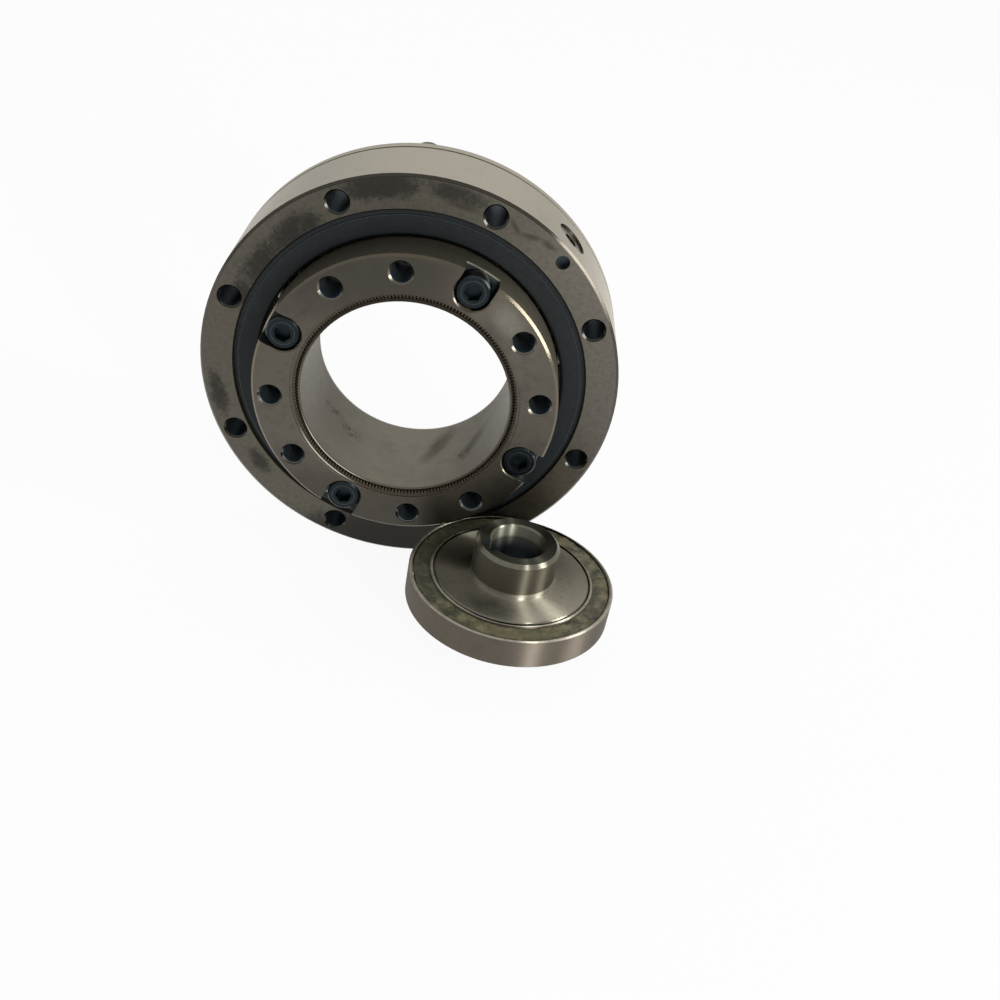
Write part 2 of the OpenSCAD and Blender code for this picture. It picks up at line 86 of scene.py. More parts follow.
# Places that the finishes and the grease are set by, in millimetres, most of them from the frame.
CASE_R = high_mm("outer_ring").x
SEAM_Y = high_mm("outer_ring").y
SPLINE_R = high_mm("circular_spline").x
SPLINE_FRONT = low_mm("circular_spline").y
CUP_FRONT = low_mm("flexspline").y
CUP_R = MOUNTS["wave_bore"]["dims"]["r_mm"]
SEAL_R = high_mm("front_seal").x
SEAL_FRONT = low_mm("front_seal").y
HOLE_R = MOUNTS["case_bolts"]["dims"]["hole_r_mm"]
OUT_PITCH_R = MOUNTS["output_bolt_holes"]["dims"]["pcd_mm"] / 2
OUT_TURN = math.radians(8)
OUT_PLACES = 12
# Bolt circles: number of places, angle of the first, radius.
CASE_CIRCLE = (MOUNTS["case_bolts"]["dims"]["count"], math.radians(27),
               MOUNTS["case_bolts"]["dims"]["pcd_mm"] / 2)
OUT_CIRCLE = (OUT_PLACES, OUT_TURN, OUT_PITCH_R)
# Radii over which the bevel of the ring's and the flange's rim gives way to their wall.
RIM_WALL = (CASE_R - 0.5, CASE_R - 0.44)
# The circular spline's notches, whose floors carry screw heads.
NOTCHES = 4
NOTCH_TURN = OUT_TURN + 2 * math.tau / OUT_PLACES
NOTCH_R = 3.0
SCREW_HEAD = 3.0
NOTCH_FLOOR = low_mm("spline_screw_1").y + SCREW_HEAD
# The recess in front of the circular spline's teeth, the cleaner outer part of their ends, and the
# rear end of the cup's teeth.
RECESS_R = 19.34
TOOTH_R = 17.9
TEETH_REAR = 1.0
# Side at which a painted highlight lies along the edges by the teeth, in degrees about the axis.
HIGHLIGHT_SIDE = -132
WAVE_AXIS = (low_mm("wave_outer_race") + high_mm("wave_outer_race")) / 2
PLATE_TOP = high_mm("wave_inner_race").z
PLATE_R = (high_mm("wave_plug").x - low_mm("wave_plug").x) / 2
CAGE_R = (high_mm("wave_cage").x - low_mm("wave_cage").x) / 2
CAGE_TOP = high_mm("wave_cage").z
HUB_TOP = high_mm("wave_plug").z
SHAFT_R = MOUNTS["shaft_bore"]["dims"]["r_mm"]
# A screw head's painted highlight ring and socket, and the loading plug's edge and socket.
HEAD_HIGHLIGHT_R = 1.9
HEAD_SOCKET_R = 1.5
PLUG_EDGE_R = 2.3
PLUG_SOCKET_R = 1.6

# Old marks, and spots of painted shade and painted highlight: the centre of an ellipse, its two radii,
# and the turn of the first, in degrees.
# Across and up on the front faces.
RING_GRIME = (
    ((-25.4, 16.6), (9.0, 4.4), 57), ((-20.6, 22.6), (8.5, 4.6), 42), ((-28.6, 10.6), (5.0, 3.2), 70),
    ((-8.0, 32.2), (11.5, 4.0), 13), ((3.5, 33.0), (9.0, 2.6), -8), ((-31.6, -8.0), (7.0, 2.4), 104),
    ((-24.0, -20.6), (5.0, 2.4), 130))
# Painted shade along the bottom of the ring's front face, not an old mark.
RING_FOOT_SHADE = ((4.0, -37.0), (32.0, 14.0), 0)
RING_STAINS = (
    ((13.6, 29.9), (2.1, 0.8), -51), ((16.1, 28.8), (2.4, 0.7), -7), ((19.2, 27.9), (2.4, 0.8), -27),
    ((5.2, 31.7), (4.0, 0.9), -8))
SPLINE_SMEARS = (((12.5, 14.5), (4.5, 2.2), -40), ((-15.0, -18.0), (4.0, 2.5), 40))
# A painted highlight at the upper right of the spline's front face.
SPLINE_HIGHLIGHT = ((14.4, 16.6), (5.0, 3.0), -45)
# Round the cup's bore and along it.
BORE_SMUDGES = (((-18.9, 7.1), (8.0, 2.4), 66), ((-11.4, 3.4), (6.6, 2.4), 58))
BORE_SPECKS = (
    ((-40.2, 6.3), (3.4, 2.2), 20), ((-35.1, 4.6), (3.6, 2.2), -10), ((-13.2, 1.5), (4.0, 2.4), 50))
# Right and back from the wave generator's axis.
PLATE_OIL = (((-3.4, -9.6), (7.5, 4.4), -20), ((-8.0, 3.5), (6.5, 5.0), 60))
GREASE_THICK = ((1.5, -14.8), (12.0, 5.0), 5)

# Studio, in metres: the lamps' distance from the origin, each lamp's angles right of the front and
# above the floor, in degrees, with its width and height, the floor's radius, the camera's place, and
# its directions to the right, up and ahead.
LAMP_DISTANCE = 0.8
LAMPS = {
    "window": (77, 22, (0.15, 0.5)), "strip": (31, 14, (0.05, 0.3)), "back": (186, 40, (1.0, 0.6)),
}
FLOOR_R = 4.0
CAMERA_PLACE = (0.00723, -0.171684, 0.091895)
CAMERA_RIGHT = Vector((0.98603, 0.03928, 0.16185))
CAMERA_UP = Vector((-0.15663, 0.54901, 0.82101))
CAMERA_AHEAD = Vector((0.05661, 0.83489, -0.54749))


def tint(code):
    """Linear colour of a hexadecimal sRGB code such as "A6A294"."""
    parts = [int(code[i:i + 2], 16) / 255 for i in (0, 2, 4)]
    return tuple(p / 12.92 if p <= 0.04045 else ((p + 0.055) / 1.055) ** 2.4 for p in parts)


def colour_prop(name, description, code):
    """A colour that can be changed in the panel."""
    return FloatVectorProperty(
        name=name, description=description, subtype="COLOR", default=tint(code), min=0, max=1)


# ---- finishes: node trees written as plain expressions ----


class Finish:
    """A material whose nodes are added one expression at a time. Lengths in it are in millimetres."""

    def __init__(self, name, metallic=1.0):
        self.material = bpy.data.materials.new(name)
        self.material.use_nodes = True
        self.tree = self.material.node_tree
        self.tree.nodes.clear()
        self.surface = self.add("ShaderNodeBsdfPrincipled")
        self.surface.inputs["Metallic"].default_value = metallic
        output = self.add("ShaderNodeOutputMaterial")
        self.join(output.inputs["Surface"], self.surface.outputs[0])
        source = self.add("ShaderNodeTexCoord")
        scaled = self.add("ShaderNodeVectorMath", operation="SCALE")
        self.join(scaled.inputs[0], source.outputs["Object"])
        scaled.inputs["Scale"].default_value = 1 / MM
        self.place = scaled.outputs[0]
        self.normal = source.outputs["Normal"]

    def add(self, kind, **settings):
        node = self.tree.nodes.new(kind)
        for name, value in settings.items():
            setattr(node, name, value)
        return node

    def join(self, socket, value):
        """Links a socket to an output, or sets its value."""
        if isinstance(value, bpy.types.NodeSocket):
            self.tree.links.new(value, socket)
        elif socket.type == "RGBA":
            socket.default_value = (*value, 1.0)
        else:
            socket.default_value = value

    def maths(self, operation, *values):
        node = self.add("ShaderNodeMath", operation=operation)
        for socket, value in zip(node.inputs, values):
            self.join(socket, value)
        return node.outputs[0]

    def plus(self, *values):
        total = values[0]
        for value in values[1:]:
            total = self.maths("ADD", total, value)
        return total

    def minus(self, first, second):
        return self.maths("SUBTRACT", first, second)

    def times(self, *values):
        product = values[0]
        for value in values[1:]:
            product = self.maths("MULTIPLY", product, value)
        return product

    def most(self, *values):
        greatest = values[0]
        for value in values[1:]:
            greatest = self.maths("MAXIMUM", greatest, value)
        return greatest

    def step(self, value, start, end):
        """Runs smoothly from 0 at start to 1 at end, whichever of the two is greater."""
        node = self.add("ShaderNodeMapRange", interpolation_type="SMOOTHSTEP")
        rising = start < end
        for name, number in (("From Min", min(start, end)), ("From Max", max(start, end)),
                             ("To Min", 0.0 if rising else 1.0), ("To Max", 1.0 if rising else 0.0)):
            node.inputs[name].default_value = number
        self.join(node.inputs["Value"], value)
        return node.outputs[0]

    def near(self, value, centre, outer, inner):
        """1 within inner of a centre, 0 past outer."""
        return self.step(self.maths("ABSOLUTE", self.minus(value, centre)), outer, inner)

    def spread(self, value, low, high):
        """Spreads a value from 0..1 over low..high."""
        return self.maths("MULTIPLY_ADD", value, high - low, low)

    def patchy(self, mask, low, high, size, detail=3.0, rough=0.55, seed=0.0):
        """A mask times noise that is spread over low..high."""
        return self.times(mask, self.spread(self.noise(size, detail, rough=rough, seed=seed), low, high))

    def mix(self, share, first, second):
        """Mixes two colours. The node's colour sockets have the same names as its other ones."""
        node = self.add("ShaderNodeMix", data_type="RGBA")
        self.join(node.inputs[0], share)
        self.join(node.inputs[6], first)
        self.join(node.inputs[7], second)
        return node.outputs[2]

    def split(self, vector):
        node = self.add("ShaderNodeSeparateXYZ")
        self.join(node.inputs[0], vector)
        return node.outputs

    def flat(self, first, second):
        """A place in two measures, for the spots."""
        node = self.add("ShaderNodeCombineXYZ")
        self.join(node.inputs[0], first)
        self.join(node.inputs[1], second)
        return node.outputs[0]

    def moved(self, centre):
        """The place counted from a centre."""
        node = self.add("ShaderNodeVectorMath", operation="SUBTRACT")
        self.join(node.inputs[0], self.place)
        node.inputs[1].default_value = centre
        return node.outputs[0]

    def length(self, first, second):
        return self.maths("SQRT", self.plus(self.times(first, first), self.times(second, second)))

    def round_axis(self):
        """Place, radius about the unit's axis, and facing: -1 is straight forwards, 1 backwards."""
        x, y, z = self.split(self.place)
        return x, y, z, self.length(x, z), self.split(self.normal)[1]

    def noise(self, size, detail=3.0, vector=None, rough=0.55, seed=0.0):
        """Noise of about 0..1 whose patches are about size millimetres wide."""
        node = self.add("ShaderNodeTexNoise", noise_dimensions="4D")
        self.join(node.inputs["Vector"], vector or self.place)
        node.inputs["W"].default_value = seed
        node.inputs["Scale"].default_value = 1 / size
        node.inputs["Detail"].default_value = detail
        node.inputs["Roughness"].default_value = rough
        return node.outputs["Fac"]

    def lines(self, value, size, seed=0.0):
        """Noise that changes along one measure only, such as a radius: turned or ground marks."""
        node = self.add("ShaderNodeTexNoise", noise_dimensions="1D")
        self.join(node.inputs["W"], self.plus(value, seed))
        node.inputs["Scale"].default_value = 1 / size
        node.inputs["Detail"].default_value = 2.0
        return node.outputs["Fac"]

    def spot(self, vector, centre, radii, turn):
        """1 in the middle of an ellipse, 0 outside it; its first radius is turned by some degrees."""
        node = self.add("ShaderNodeMapping", vector_type="TEXTURE")
        self.join(node.inputs["Vector"], vector)
        node.inputs["Location"].default_value = (*centre, 0)
        node.inputs["Rotation"].default_value = (0, 0, math.radians(turn))
        node.inputs["Scale"].default_value = (*radii, 1)
        size = self.add("ShaderNodeVectorMath", operation="LENGTH")
        self.join(size.inputs[0], node.outputs[0])
        return self.step(size.outputs["Value"], 1.0, 0.15)

    def spots(self, vector, places):
        return self.most(*[self.spot(vector, *place) for place in places])

    def to_pattern(self, first, second, count, turn):
        """Distances, out from the axis and across, in the nearest of some equal sectors."""
        step = math.tau / count
        angle = self.minus(self.maths("ARCTAN2", second, first), turn)
        off = self.minus(angle, self.times(self.maths("ROUND", self.times(angle, 1 / step)), step))
        radius = self.length(first, second)
        return self.times(radius, self.maths("COSINE", off)), self.times(radius, self.maths("SINE", off))

    def holes(self, first, second, circle, outer, inner):
        """1 at a bolt circle's holes and within inner of their walls, 0 past outer."""
        count, turn, pitch_r = circle
        along, across = self.to_pattern(first, second, count, turn)
        from_centre = self.length(self.minus(along, pitch_r), across)
        return self.step(from_centre, HOLE_R + outer, HOLE_R + inner)

    def towards(self, first, second, direction, reach):
        """1 near a direction about the axis, in degrees, and 0 past its reach."""
        return self.near(self.maths("ARCTAN2", second, first), math.radians(direction),
                         math.radians(reach), math.radians(reach * 0.4))

    def clouds(self, size, low, high, seed):
        return self.step(self.noise(size, 5.0, rough=0.65, seed=seed), low, high)

    def marks(self, measure, grain=0.3):
        """Fine turned or ground marks along one measure, with a little grain, 0..1."""
        turned = self.plus(self.times(self.lines(measure, 0.1), 0.6),
                           self.times(self.lines(measure, 0.7, 9.0), 0.4))
        return self.plus(self.times(turned, 1 - grain), self.times(self.noise(0.2, 2.0), grain))

    def colour(self, value):
        self.join(self.surface.inputs["Base Color"], value)

    def polish(self, low, high, size, seed=0.0, detail=4.0, shine=None):
        """Cloudy roughness between two values, lowered by a shine."""
        rough = self.spread(self.noise(size, detail, seed=seed), low, high)
        if shine is not None:
            rough = self.minus(rough, shine)
        self.join(self.surface.inputs["Roughness"], rough)

    def relief(self, height, depth):
        """Bumps of a depth in millimetres."""
        bump = self.add("ShaderNodeBump")
        bump.inputs["Strength"].default_value = 1.0
        bump.inputs["Distance"].default_value = depth * MM
        self.join(bump.inputs["Height"], height)
        self.join(self.surface.inputs["Normal"], bump.outputs[0])

    def turned(self, axis, strength):
        """Draws highlights out across marks that run round an axis."""
        tangent = self.add("ShaderNodeTangent", direction_type="RADIAL", axis=axis)
        self.join(self.surface.inputs["Tangent"], tangent.outputs[0])
        self.surface.inputs["Anisotropic"].default_value = strength
        self.surface.inputs["Anisotropic Rotation"].default_value = 0.25


def paint(finish, *names):
    """Gives CAD nodes a finish in place of their packed one."""
    for name in names:
        for slot in NODES[name].material_slots:
            slot.material = finish.material


# ---- the gear unit ----


class RingLook(bpy.types.PropertyGroup):
    """Colours of the bearing's outer ring and of the flange behind it"""
    wall: colour_prop("Wall", "Ground outer wall of the ring and the flange", "BAB3A3")
    # The front face's dark colour is partly its duller finish and partly painted shade, standing in for a
    # dark reflection.
    face: colour_prop("Face", "Front face of the ring", "6E6A62")
    # Painted shade: the left part of the front face is coloured darker, as if less lit.
    face_shade_and_smear: colour_prop("Face, dull side", "The duller left part of the front face", "5E5A51")
    # Also the colour of the painted shade along the bottom of the front face.
    grime_and_shade: colour_prop("Grime", "Old handling marks", "32312E")
    # Painted shade: the bevels are coloured dark, standing in for the dark reflection they show.
    rim: colour_prop("Bevels", "Bevels of the rim and the hole mouths", "464239")
    # Painted highlight: this colour makes a bright line along the middle of the rim's bevel.
    worn: colour_prop("Worn rim", "Line worn bright on the rim's bevel", "55504A")
    stain: colour_prop("Stain", "Dried oil on the front face", "48433A")
    # Painted light: the oiled hole walls are coloured lighter and bluer for the bluish light seen in
    # them.
    hole: colour_prop("Holes", "Oiled walls of the bolt holes", "566066")
    seam: colour_prop("Seam", "Dirt in the joint between the ring and the flange", "6A6658")


def ring_face(net, look, x, z, front):
    """Colour of the ring's front face, with painted shade at its left side and along its bottom, and
    where old dirt and the bottom's painted shade lie on it.
    """
    flat = net.flat(x, z)
    patches = net.spots(flat, RING_GRIME)
    # Painted shade along the bottom of the face, mixed into the dirt mask and its colour.
    foot = net.spot(flat, *RING_FOOT_SHADE)
    fine = net.spread(net.noise(0.6, 8.0, rough=0.85, seed=4.4), -0.3, 1.3)
    mottle = net.plus(net.times(net.noise(2.6, 3.0, seed=3.1), 0.4), net.times(fine, 0.6))
    mottle = net.plus(mottle, net.times(patches, 0.4), net.times(foot, 0.95))
    grime_and_shade = net.times(net.step(mottle, 0.58, 0.9), front)
    ragged = net.flat(net.plus(x, net.noise(1.6, seed=2.0)), net.plus(z, net.noise(1.6, seed=5.0)))
    stain = net.times(net.spots(ragged, RING_STAINS), front)
    # Painted shade: the face runs darker towards its left side.
    shaded = net.step(net.plus(x, net.times(net.noise(6.0, seed=1.0), 8)), 45.0, 14.0)
    face = net.mix(shaded, look.face, look.face_shade_and_smear)
    face = net.mix(net.times(net.clouds(0.8, 0.4, 0.75, 8.0), 0.35), face, look.grime_and_shade)
    face = net.mix(net.times(grime_and_shade, 0.8), face, look.grime_and_shade)
    face = net.mix(stain, face, look.stain)
    return net.mix(net.times(foot, 0.7), face, look.grime_and_shade), grime_and_shade


def ring_finish(look):
    """Ground rim, and a duller front face with old handling marks; the face is darkened partly by painted
    shade, its bevels are painted dark as shade, and a painted highlight lies along the rim's bevel.
    """
    net = Finish("ground_outer_ring")
    x, y, z, radius, facing = net.round_axis()
    face, grime_and_shade = ring_face(net, look, x, z, net.step(facing, -0.85, -0.95))
    wall = net.times(net.step(radius, *RIM_WALL), net.step(facing, -0.3, -0.1))
    seam = net.times(net.step(y, SEAM_Y - 0.24, SEAM_Y - 0.14), net.step(radius, CASE_R - 2, CASE_R - 1))
    sloping = net.times(net.step(facing, -0.15, -0.35), net.step(facing, -0.93, -0.85))
    ground = net.mix(net.times(net.clouds(2.5, 0.5, 0.8, 4.0), 0.2), look.wall, look.face)
    body = net.mix(wall, face, ground)
    # Painted highlight: a bright line along the middle of the rim's bevel.
    glint = net.near(radius, CASE_R - 0.22, 0.18, 0.08)
    # Painted shade on the bevels: their dark colour stands in for a dark reflection.
    body = net.mix(sloping, body, net.mix(glint, look.rim, look.worn))
    body = net.mix(net.holes(x, z, CASE_CIRCLE, 0.06, 0.02), body, look.hole)
    net.colour(net.mix(seam, body, look.seam))
    shine = net.minus(net.times(sloping, 0.2), net.times(grime_and_shade, 0.12))
    net.polish(0.34, 0.46, 1.5, seed=6.0, shine=shine)
    net.relief(net.times(net.marks(net.plus(radius, y)), net.minus(1.0, sloping)), 0.006)
    net.turned("Y", 0.5)
    return net


class GEAR_OT_outer_ring(bpy.types.Operator):
    """Finish the bearing's outer ring"""
    bl_idname = "gear.outer_ring"
    bl_label = "Outer ring"

    def execute(self, context):
        paint(ring_finish(context.scene.gear_ring), "outer_ring")
        return {"FINISHED"}


class FlexLook(bpy.types.PropertyGroup):
    """Colours of the toothed cup"""
    bore: colour_prop("Bore", "Worn wall that the wave generator runs in", "878274")
    # Painted shade: the left and right sides of the bore are coloured darker.
    side: colour_prop("Bore, sides", "Duller sides of the bore", "6F6A5F")
    smudge: colour_prop("Smudges", "Oil wiped over the bore", "4E4A3F")
    speck: colour_prop("Specks", "Small rust brown marks in the bore", "4E3F30")
    teeth: colour_prop("Teeth", "Oily ends of the teeth", "35312A")
    grease: colour_prop("Grease", "Old grease between the teeth", "685F4E")
    rim: colour_prop("Cup rim", "Thin front rim of the cup", "5E594E")
    # Painted highlight along the edges by the teeth at one side.
    painted_highlight: colour_prop("Bright edge", "Edges by the teeth, rubbed bright at one side", "CFCABA")
    rear: colour_prop("Rear", "Ground rear face of the flange", "928F84")


def worn_bore(net, look, x, y, z):
    """Colour of the cup's bore, with oil wiped over it, a few rust brown specks, and painted shade at its
    left and right sides.
    """
    arc = net.times(net.maths("ARCTAN2", z, x), CUP_R)
    warp = net.plus(arc, net.times(net.noise(2.5, 4.0, seed=2.0), 2.4))
    around = net.flat(warp, y)
    smudge = net.patchy(net.spots(around, BORE_SMUDGES), 0.3, 1.5, 0.9, 6.0, rough=0.75, seed=7.0)
    specks = net.times(net.spots(around, BORE_SPECKS), net.clouds(0.7, 0.46, 0.58, 3.0))
    bore = net.mix(net.times(net.clouds(3.0, 0.4, 0.8, 5.0), 0.25), look.bore, look.smudge)
    # Painted shade: darker towards the bore's left and right sides.
    bore = net.mix(net.near(x, 0.0, 15.5, 9.0), look.side, bore)
    bore = net.mix(net.times(smudge, 0.85), bore, look.smudge)
    return net.mix(net.times(specks, 0.8), bore, look.speck)


def flex_finish(look, ring):
    """Cup and flange: a worn bore with painted shade at its sides, teeth under old grease, a painted
    highlight by the teeth, and the same ground rim as the ring's.
    """
    net = Finish("worn_flexspline")
    x, y, z, radius, facing = net.round_axis()
    wall = net.step(radius, *RIM_WALL)
    flange = net.step(radius, CUP_R + 5, CUP_R + 6)
    teeth = net.times(net.step(radius, CUP_R + 0.05, CUP_R + 0.2),
                      net.step(y, TEETH_REAR + 1, TEETH_REAR))
    seam = net.times(net.step(y, SEAM_Y + 0.24, SEAM_Y + 0.14), flange)
    rear = net.mix(net.clouds(2.5, 0.45, 0.75, 4.0), look.rear, ring.face)
    rear = net.mix(wall, rear, ring.wall)
    body = net.mix(flange, worn_bore(net, look, x, y, z), rear)
    body = net.mix(seam, body, ring.seam)
    body = net.mix(net.holes(x, z, CASE_CIRCLE, 0.05, 0.02), body, ring.hole)
    greased = net.times(teeth, net.step(facing, -0.85, -0.6))
    body = net.mix(greased, net.mix(teeth, body, look.teeth), look.grease)
    net.join(net.surface.inputs["Metallic"], net.minus(1.0, greased))
    rim = net.times(net.step(y, CUP_FRONT + 0.1, CUP_FRONT + 0.05),
                    net.step(radius, CUP_R + 0.34, CUP_R + 0.3))
    # Painted highlight along the cup's rim at one side.
    painted_highlight = net.times(net.towards(x, z, HIGHLIGHT_SIDE, 32), net.step(radius, CUP_R + 0.14, CUP_R + 0.2))
    edge = net.mix(painted_highlight, net.mix(net.step(z, 2.0, 12.0), look.rim, look.teeth), look.painted_highlight)
    net.colour(net.mix(rim, body, edge))
    net.polish(0.4, 0.55, 1.5, seed=6.0, shine=net.times(painted_highlight, rim, 0.2))
    net.relief(net.marks(net.plus(radius, y), 0.5), 0.006)
    net.turned("Y", 0.3)
    return net


class GEAR_OT_flexspline(bpy.types.Operator):
    """Finish the flexspline's cup, teeth and flange"""
    bl_idname = "gear.flexspline"
    bl_label = "Flexspline"

    def execute(self, context):
        scene = context.scene
        paint(flex_finish(scene.gear_flex, scene.gear_ring), "flexspline")
        return {"FINISHED"}


class SplineLook(bpy.types.PropertyGroup):
    """Colours of the circular spline"""
    face: colour_prop("Face", "Front face", "605B52")
    # Painted highlight: a lighter patch at the upper right of the front face.
    shine: colour_prop("Shine", "Patch wiped clean on the front face", "78746A")
    # Painted shade at the top and bottom of the front face; also the colour of its smears and clouds.
    face_shade_and_smear: colour_prop("Face, dull parts", "Duller top and bottom of the front face", "4A4640")
    wall: colour_prop("Wall", "Outer wall, under old oil", "7C7868")
    edge: colour_prop("Edges", "Edges rubbed bright", "6E6759")
    # Painted light: the oiled hole walls are coloured lighter and bluer for the bluish light seen in
    # them.
    hole: colour_prop("Holes", "Oiled walls of the bolt holes", "7C8990")
    # Painted shade: the notches' floors and walls are coloured dark.
    notch_shade: colour_prop("Notches", "Dark floor and walls of the screw notches", "454B4D")
    teeth: colour_prop("Teeth", "Oily tips of the teeth", "35312A")
    roots: colour_prop("Tooth roots", "Less oily outer part of the teeth's ends", "48433A")
    # Painted highlight along the notches' outer lips.
    lip: colour_prop("Lips", "Rubbed outer lips of the notches", "A59E8C")


def notch_parts(net, x, y, z, radius):
    """Where the notches' floors and walls are, painted as shade, and where their outer lips are, painted
    as a highlight.
    """
    along, across = net.to_pattern(x, z, NOTCHES, NOTCH_TURN)
    in_notch = net.times(net.near(across, 0.0, NOTCH_R + 0.15, NOTCH_R + 0.05),
                         net.step(along, OUT_PITCH_R - NOTCH_R - 0.2, OUT_PITCH_R - NOTCH_R - 0.1))
    shaded_notch = net.times(net.step(y, SPLINE_FRONT + 0.15, SPLINE_FRONT + 0.4), in_notch,
                         net.step(radius, SPLINE_R - 0.03, SPLINE_R - 0.1))
    lip = net.times(in_notch, net.near(y, NOTCH_FLOOR, 0.3, 0.2),
                    net.step(radius, SPLINE_R - 0.3, SPLINE_R - 0.2))
    return shaded_notch, lip


def spline_face(net, look, x, z):
    """Colour of the front face: painted shade at the top and bottom, smeared, and a painted highlight
    patch in one place.
    """
    # Painted shade: darker at the upper left and along the bottom of the face.
    shaded = net.most(net.times(net.step(z, 7.0, 19.0), net.step(x, 12.0, 1.0)), net.step(z, -9.0, -21.0))
    flat = net.flat(x, z)
    face = net.mix(net.patchy(shaded, 0.6, 1.2, 3.0, 4.0, seed=1.0), look.face, look.face_shade_and_smear)
    face = net.mix(net.times(net.clouds(1.6, 0.45, 0.7, 2.0), 0.45), face, look.face_shade_and_smear)
    smears = net.patchy(net.spots(flat, SPLINE_SMEARS), 0.1, 0.9, 1.0, 5.0, seed=4.0)
    face = net.mix(smears, face, look.face_shade_and_smear)
    # Painted highlight: a lighter patch towards the upper right.
    clean = net.patchy(net.spot(flat, *SPLINE_HIGHLIGHT), 0.2, 1.2, 0.8, 5.0, seed=3.0)
    return net.mix(clean, face, look.shine)


def spline_finish(look, flex):
    """Turned front face, notches painted dark as shade, dark holes with walls painted lighter and bluer
    as light, edges rubbed bright and painted darker towards the bottom as shade, and painted highlights
    on the notches' lips and by the teeth.
    """
    net = Finish("turned_circular_spline")
    x, y, z, radius, facing = net.round_axis()
    front = net.step(facing, -0.85, -0.95)
    at_front = net.times(front, net.step(y, SPLINE_FRONT + 0.1, SPLINE_FRONT + 0.05))
    sloping = net.times(net.step(facing, -0.15, -0.35), net.step(facing, -0.95, -0.85))
    recess = net.step(radius, RECESS_R + 0.06, RECESS_R + 0.02)
    teeth = net.most(net.step(radius, RECESS_R - 0.92, RECESS_R - 0.98),
                     net.times(net.step(radius, RECESS_R, RECESS_R - 0.1), net.step(facing, -0.5, -0.3)))
    shaded_notch, notch_highlight = notch_parts(net, x, y, z, radius)
    face = spline_face(net, look, x, z)
    body = net.mix(at_front, look.wall, face)
    body = net.mix(net.step(radius, SPLINE_R - 0.1, SPLINE_R - 0.03), body, look.wall)
    # Painted shade in the notches.
    body = net.mix(shaded_notch, body, look.notch_shade)
    # Painted shade: the rubbed edges run darker towards the bottom.
    edge = net.mix(net.step(z, -9.0, -17.0), look.edge, look.face_shade_and_smear)
    body = net.mix(sloping, body, edge)
    body = net.mix(net.holes(x, z, OUT_CIRCLE, 0.08, 0.03), body, look.hole)
    # Painted highlight: a bright line in the recess by the teeth at one side.
    line = net.times(net.towards(x, z, HIGHLIGHT_SIDE, 24), front,
                     net.step(radius, RECESS_R - 0.7, RECESS_R - 0.76))
    body = net.mix(recess, body, net.mix(line, face, flex.painted_highlight))
    ends = net.mix(net.step(radius, TOOTH_R, TOOTH_R + 0.2), look.teeth, look.roots)
    greased = net.times(teeth, net.step(facing, -0.85, -0.6))
    body = net.mix(greased, net.mix(teeth, body, ends), flex.grease)
    net.join(net.surface.inputs["Metallic"], net.minus(1.0, greased))
    # Painted highlight on the notches' outer lips.
    net.colour(net.mix(notch_highlight, body, look.lip))
    net.polish(0.34, 0.46, 1.2, seed=6.0, shine=net.times(sloping, 0.2))
    net.relief(net.marks(net.plus(radius, y), 0.35), 0.006)
    net.turned("Y", 0.5)
    return net


class GEAR_OT_circular_spline(bpy.types.Operator):
    """Finish the circular spline"""
    bl_idname = "gear.circular_spline"
    bl_label = "Circular spline"

    def execute(self, context):
        scene = context.scene
        paint(spline_finish(scene.gear_spline, scene.gear_flex), "circular_spline")
        return {"FINISHED"}


class BearingLook(bpy.types.PropertyGroup):
    """Colours of the bearing's inner parts"""
    steel: colour_prop("Bearing steel", "Ground bearing steel", "8E8B84")
    spacer: colour_prop("Spacers", "Nylon spacers between the rollers", "C9C0A4")
    spacer_dull: colour_prop("Spacers, oily parts", "Nylon under a film of oil", "A79C7C")
    plug: colour_prop("Loading plug", "Turned end of the roller loading plug", "ADA797")
    dirt: colour_prop("Plug dirt", "Dirt round the plug and in its socket", "746B58")
    pin: colour_prop("Plug pin", "Dark end of the plug's pin", "3A4246")


def plain_steel(name, colour, low, high, depth=0.004):
    """Steel with a fine grain and a cloudy polish between two roughnesses."""
    net = Finish(name)
    shade = net.spread(net.noise(0.9, 5.0, rough=0.65), 0.75, 1.15)
    tone = net.add("ShaderNodeVectorMath", operation="SCALE")
    tone.inputs[0].default_value = colour
    net.join(tone.inputs["Scale"], shade)
    net.colour(tone.outputs[0])
    net.polish(low, high, 0.8, seed=3.0)
    net.relief(net.noise(0.15, 2.0), depth)
    return net


def plug_finish(look):
    """End of the loading plug, with dirt round its edge and in its threaded hole."""
    net = Finish("turned_loading_plug")
    centre = (Vector(low_mm("loading_plug")) + Vector(high_mm("loading_plug"))) / 2
    outward = Vector((centre.x, 0, centre.z)).normalized()
    side = Vector((outward.z, 0, -outward.x))
    moved = net.moved((0, centre.y, 0))
    measures = []
    for direction in (side, Vector((0, 1, 0))):
        dot = net.add("ShaderNodeVectorMath", operation="DOT_PRODUCT")
        net.join(dot.inputs[0], moved)
        dot.inputs[1].default_value = direction
        measures.append(dot.outputs["Value"])
    radius = net.length(*measures)
    dirt = net.most(net.step(radius, PLUG_EDGE_R, PLUG_EDGE_R + 0.6),
                    net.step(radius, PLUG_SOCKET_R, PLUG_SOCKET_R - 0.35))
    net.colour(net.mix(dirt, net.mix(net.clouds(0.8, 0.4, 0.7, 1.0), look.plug, look.steel), look.dirt))
    net.polish(0.22, 0.4, 0.5, seed=2.0)
    net.relief(net.marks(radius, 0.3), 0.01)
    return net


